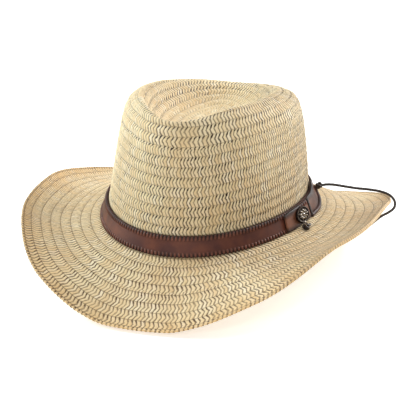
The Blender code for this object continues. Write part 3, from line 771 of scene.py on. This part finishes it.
# Side tab
# The band's laced end laps over itself on the wearer's left, under the concho, and is held by a keeper whose
# near black is painted shadow of the gap at the lap's end.
# From the keeper on a wing of the same leather stands off the hat, and narrows and rises to the chin cord's
# knot. Its lower edge is rolled over a core.
TAB = {
    "turn":       (66, 70, 76, 83, 89, 94, 98, 102, 105, 108),
    "rise":       (0.93, 1.00, 1.02, 1.02, 1.02, 1.04, 1.10, 1.22, 1.36, 1.42),
    "drop":       (0.08, 0.02, 0.02, 0.02, 0.02, 0.03, 0.10, 0.36, 0.72, 0.98),
    "high_stand": (0.00, 0.00, 0.00, 0.00, 0.00, 0.02, 0.04, 0.04, 0.02, 0.01),
    "low_stand":  (0.00, 0.00, 0.00, 0.00, 0.00, 0.05, 0.13, 0.17, 0.08, 0.03),
}
LAP_END = 88.5               # turn from the front at which the laced end stops
KEEPER_WIDTH = 2.2           # degrees along the band
KEEPER_LEATHER = 0.0026
WING_LEATHER = 0.0013
ROLL_DIAMETER = 0.0034
TAB_LACES = {"first": 79.6, "step": 2.1, "count": 4}


def tab_face(turn, across, off):
    """Point off the tab's inner face, across counting from its lower to its upper edge."""
    low, high, low_stand, high_stand = [through(TAB["turn"], TAB[name], turn)
                                        for name in ("drop", "rise", "low_stand", "high_stand")]
    stand = (low_stand + (high_stand - low_stand) * across) * BAND_HEIGHT
    return band_face(radians(turn), (low + (high - low) * across) * BAND_HEIGHT,
                     LEATHER + 2 * CLEARANCE + stand + off)


def tab_height(turn):
    return (through(TAB["turn"], TAB["rise"], turn) - through(TAB["turn"], TAB["drop"], turn)) * BAND_HEIGHT


def tab_piece(name, first, last, divisions, thick, finish):
    """Strip of the tab between two turns, thinner at its very ends."""
    def outline_of(along):
        height = tab_height(first + (last - first) * along)
        squeeze = 1 - 0.55 * max(0.0, 1 - min(along, 1 - along) * divisions / 1.5)
        return [(across, thick / 2 + (off - thick / 2) * squeeze)
                for across, off in rounded_outline(height, thick, min(ROUNDING, thick * 0.35), 10)]

    def spot(along, across, off):
        turn = first + (last - first) * along
        return tab_face(turn, across / tab_height(turn), off)

    return finished(name, leather_strip(divisions, outline_of, spot), finish, sharp=70)


tab_leather = leather_finish("Red-brown waxed leather, tab", "#7C4F38", "#56321F")
piping = leather_finish("Dark leather piping", "#4E2E25", "#2E1A14")
first, last = TAB["turn"][0], TAB["turn"][-1]
lap = tab_piece("tab_lap", first, LAP_END, 60, LEATHER, tab_leather)
# The keeper's near black leather is painted shadow, standing for the dark gap between the lap's end and the
# wing.
keeper = tab_piece("tab_keeper_painted_shadow", LAP_END - KEEPER_WIDTH / 2, LAP_END + KEEPER_WIDTH / 2, 8, KEEPER_LEATHER,
                   leather_finish("Leather keeper, black as painted shadow", "#2A1812", "#150B08"))
wing = tab_piece("tab_wing", LAP_END, last, 60, WING_LEATHER, tab_leather)


def tab_lace(stitch, along, inward, off):
    turn = TAB_LACES["first"] + TAB_LACES["step"] * stitch
    degree = (tab_face(turn + 0.5, 1, 0) - tab_face(turn - 0.5, 1, 0)).length
    return tab_face(turn + along / degree, 1 - inward / tab_height(turn), off)


tab_stitches = bmesh.new()
laces(tab_stitches, TAB_LACES["count"], tab_lace)
tab_lacing = finished("tab_lacing", tab_stitches, lace_leather, sharp=80)

roll_path = [tab_face(LAP_END + (last - 1.0 - LAP_END) * k / 60, 0.02, WING_LEATHER) for k in range(61)]
roll = finished("tab_rolled_edge", twisted_cord(roll_path, ROLL_DIAMETER, ridges=0.0), piping,
                sharp=70)
for piece in (lap, keeper, wing, tab_lacing, roll):
    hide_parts("side_tab")

# Concho
# A cast oval ornament of silver-coloured metal, 20 by 12 mm, screwed through the lap of the tab: a domed
# boss in a ring of petals and a roped rim, blackened in its hollows. A small ring hangs from its lower edge.
CONCHO_TURN = 79
CONCHO_LENGTH = 0.0205
CONCHO_HEIGHT = 0.0120
CONCHO_THICKNESS = 0.0022
CONCHO_SPOKES = 160
PETALS = 9
ROPE_TURNS = 40
RING_DIAMETER = 0.0030
RING_WIRE = 0.0008
# Rings outwards from the middle: height, petal and rope relief as shares of the thickness.
CONCHO_RINGS = {
    "radius": (0.00, 0.06, 0.12, 0.17, 0.21, 0.25, 0.31, 0.38, 0.46, 0.54, 0.61, 0.67, 0.71, 0.75, 0.79, 0.84,
               0.89, 0.94, 0.98, 1.00, 1.00),
    "height": (1.12, 1.10, 1.03, 0.90, 0.66, 0.62, 0.70, 0.78, 0.80, 0.74, 0.64, 0.50, 0.40, 0.38, 0.50, 0.64,
               0.68, 0.60, 0.42, 0.20, 0.00),
    "petal":  (0.00, 0.00, 0.00, 0.00, 0.05, 0.14, 0.24, 0.30, 0.32, 0.30, 0.26, 0.18, 0.06, 0.00, 0.00, 0.00,
               0.00, 0.00, 0.00, 0.00, 0.00),
    "rope":   (0.00, 0.00, 0.00, 0.00, 0.00, 0.00, 0.00, 0.00, 0.00, 0.00, 0.00, 0.00, 0.00, 0.04, 0.12, 0.18,
               0.18, 0.16, 0.10, 0.00, 0.00),
}

# Cast white metal, polished high and blackened low: bright on the petals' backs and the rope, soot dark
# where the attribute hollow marks the ground between them.
silver, tree, shader = new_material("Antique silver, cast and rubbed")
hollow = add_node(tree, "ShaderNodeAttribute", {}, attribute_name="hollow")
place = add_node(tree, "ShaderNodeTexCoord", {})
wear = add_node(tree, "ShaderNodeTexNoise", {"Vector": place.outputs["Object"], "Scale": 700, "Detail": 3})
soot = add_node(tree, "ShaderNodeMath", {0: wear.outputs["Fac"], 1: 0.5, 2: hollow.outputs["Fac"]},
                operation="MULTIPLY_ADD")
level = add_node(tree, "ShaderNodeMapRange", {"Value": soot.outputs[0], "From Min": 0.42, "From Max": 0.86})
metal = add_node(tree, "ShaderNodeMix", {"Factor": level.outputs[0], "A": linear("#A0968B"),
                                         "B": linear("#241A16")}, data_type="RGBA")
rub = add_node(tree, "ShaderNodeMapRange", {"Value": level.outputs[0], "To Min": 0.22, "To Max": 0.65})
tree.links.new(metal.outputs["Result"], shader.inputs["Base Color"])
tree.links.new(rub.outputs[0], shader.inputs["Roughness"])
shader.inputs["Metallic"].default_value = 1.0

up = (tab_face(CONCHO_TURN, 0.6, LEATHER) - tab_face(CONCHO_TURN, 0.4, LEATHER)).normalized()
along = tab_face(CONCHO_TURN + 1, 0.5, LEATHER) - tab_face(CONCHO_TURN - 1, 0.5, LEATHER)
out = along.cross(up).normalized()
seat = tab_face(CONCHO_TURN, 0.5, LEATHER) + out * CLEARANCE
stand = Matrix((up.cross(out), up, out)).transposed().to_4x4()
stand.translation = seat
cast = bmesh.new()
line = [cast.verts.new((radius, 0, ring / 100)) for ring, radius in enumerate(CONCHO_RINGS["radius"])]
back = cast.verts.new((0, 0, -1))
edges = [cast.edges.new(pair) for pair in zip(line + [back], line[1:] + [back]) if pair[0] is not pair[1]]
bmesh.ops.spin(cast, geom=line + [back] + edges, cent=(0, 0, 0), axis=(0, 0, 1), angle=2 * pi,
               steps=CONCHO_SPOKES, use_merge=True)
hollows = cast.verts.layers.float.new("hollow")
for vert in cast.verts:
    if vert.co.z < 0:
        vert.co.z = 0
        continue
    ring = round(vert.co.z * 100)
    turn = atan2(vert.co.y, vert.co.x)
    reach = CONCHO_RINGS["radius"][ring]
    petal = CONCHO_RINGS["petal"][ring] * (abs(cos(turn * PETALS / 2)) * 2 - 1)
    rope = CONCHO_RINGS["rope"][ring] * cos(turn * ROPE_TURNS + reach * 14)
    rise = CONCHO_RINGS["height"][ring] + petal + rope
    vert[hollows] = min(max(1.15 - rise, 0.0), 1.0)
    vert.co.x *= CONCHO_LENGTH / 2
    vert.co.y *= CONCHO_HEIGHT / 2
    vert.co.z = rise * CONCHO_THICKNESS
bmesh.ops.remove_doubles(cast, verts=cast.verts, dist=0.00002)
bmesh.ops.transform(cast, matrix=stand, verts=cast.verts)
bmesh.ops.recalc_face_normals(cast, faces=cast.faces)
ornament = finished("concho_rosette", cast, silver, sharp=70)
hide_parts("concho")

# Cord knots
# The cord is tied off at both ends: one knot in the tab's tip, one on the right of the band, and a small one
# with a short free end under the concho. Each is an overhand knot of the chin cord itself.
END_KNOT_TURN = 76
KNOT_CORD = 0.0019
KNOT_DIAMETER = 0.0060
LEFT_KNOT = {"turn": 106, "share": 0.20, "tilt": 0.35, "length": 0.0052}
RIGHT_KNOT = {"turn": -108, "rise": 0.75, "length": 0.0052}
END_KNOT = {"length": 0.0053, "tail": 0.0060}


def overhand(centre, axis, length):
    """Path of a pulled-up overhand knot about an axis."""
    side = axis.orthogonal().normalized()
    other = axis.cross(side)
    swing = (length - KNOT_CORD) / 2
    wide = (KNOT_DIAMETER - KNOT_CORD) / 2
    path = []
    for k in range(97):
        t = 2 * pi * (k + 0.5) / 98
        reach = wide * (0.66 + 0.34 * cos(3 * t))
        path.append(centre + (side * cos(2 * t) + other * sin(2 * t)) * reach + axis * swing * sin(3 * t))
    return path


def knot(name, centre, axis, length, tail=0.0):
    form = twisted_cord(overhand(centre, axis, length), KNOT_CORD)
    if tail:
        start = centre - axis * (length / 2 - KNOT_CORD / 2)
        run = [start - axis * tail * k / 8 for k in range(9)]
        end = bpy.data.meshes.new("tail")
        strand = twisted_cord(run, KNOT_CORD)
        strand.to_mesh(end)
        strand.free()
        form.from_mesh(end)
        bpy.data.meshes.remove(end)
    return finished(name, form, cord_finish, sharp=60)


up = (tab_face(LEFT_KNOT["turn"], LEFT_KNOT["share"] + 0.1, LEATHER)
      - tab_face(LEFT_KNOT["turn"], LEFT_KNOT["share"] - 0.1, LEATHER)).normalized()
along = (tab_face(LEFT_KNOT["turn"] + 1, LEFT_KNOT["share"], LEATHER)
         - tab_face(LEFT_KNOT["turn"] - 1, LEFT_KNOT["share"], LEATHER))
out = along.cross(up).normalized()
axis = Vector((out.x, out.y, LEFT_KNOT["tilt"] * out.z)).normalized()
centre = (tab_face(LEFT_KNOT["turn"], LEFT_KNOT["share"], LEATHER)
          + out * (2 * CLEARANCE + LEFT_KNOT["length"] / 2))
left_knot = knot("left_overhand_knot", centre, axis, LEFT_KNOT["length"])
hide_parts("left_knot")

angle = radians(RIGHT_KNOT["turn"])
centre = band_face(angle, RIGHT_KNOT["rise"] * BAND_HEIGHT, LEATHER + 2 * CLEARANCE + KNOT_DIAMETER / 2)
axis = outward(angle).cross(Vector((0, 0, 1))).normalized()
right_knot = knot("right_overhand_knot", centre, axis, RIGHT_KNOT["length"])
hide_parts("right_knot")

low, high = [Vector(corner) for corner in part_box("end_knot")]
angle = radians(END_KNOT_TURN)
axis = outward(angle).cross(Vector((0, 0, 1))).normalized()
centre = (low + high) / 2 + axis * END_KNOT["tail"] / 2
end_knot = knot("end_overhand_knot", centre, axis, END_KNOT["length"], END_KNOT["tail"])
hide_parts("end_knot")

# The small ring between the concho and the end knot.
ring = bmesh.new()
upright = Matrix.Translation((RING_DIAMETER / 2, 0, 0)) @ Matrix.Rotation(pi / 2, 4, "X")
made = bmesh.ops.create_circle(ring, segments=10, radius=RING_WIRE / 2, matrix=upright)
bmesh.ops.spin(ring, geom=made["verts"] + list(ring.edges), cent=(0, 0, 0), axis=(0, 0, 1), angle=2 * pi,
               steps=28, use_merge=True)
turned = Matrix.Translation(centre + Vector((0, 0, KNOT_DIAMETER / 2))) @ stand.to_3x3().to_4x4()
bmesh.ops.transform(ring, matrix=turned, verts=ring.verts)
bmesh.ops.recalc_face_normals(ring, faces=ring.faces)
hanger = finished("concho_ring", ring, silver, sharp=80)
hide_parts("concho")
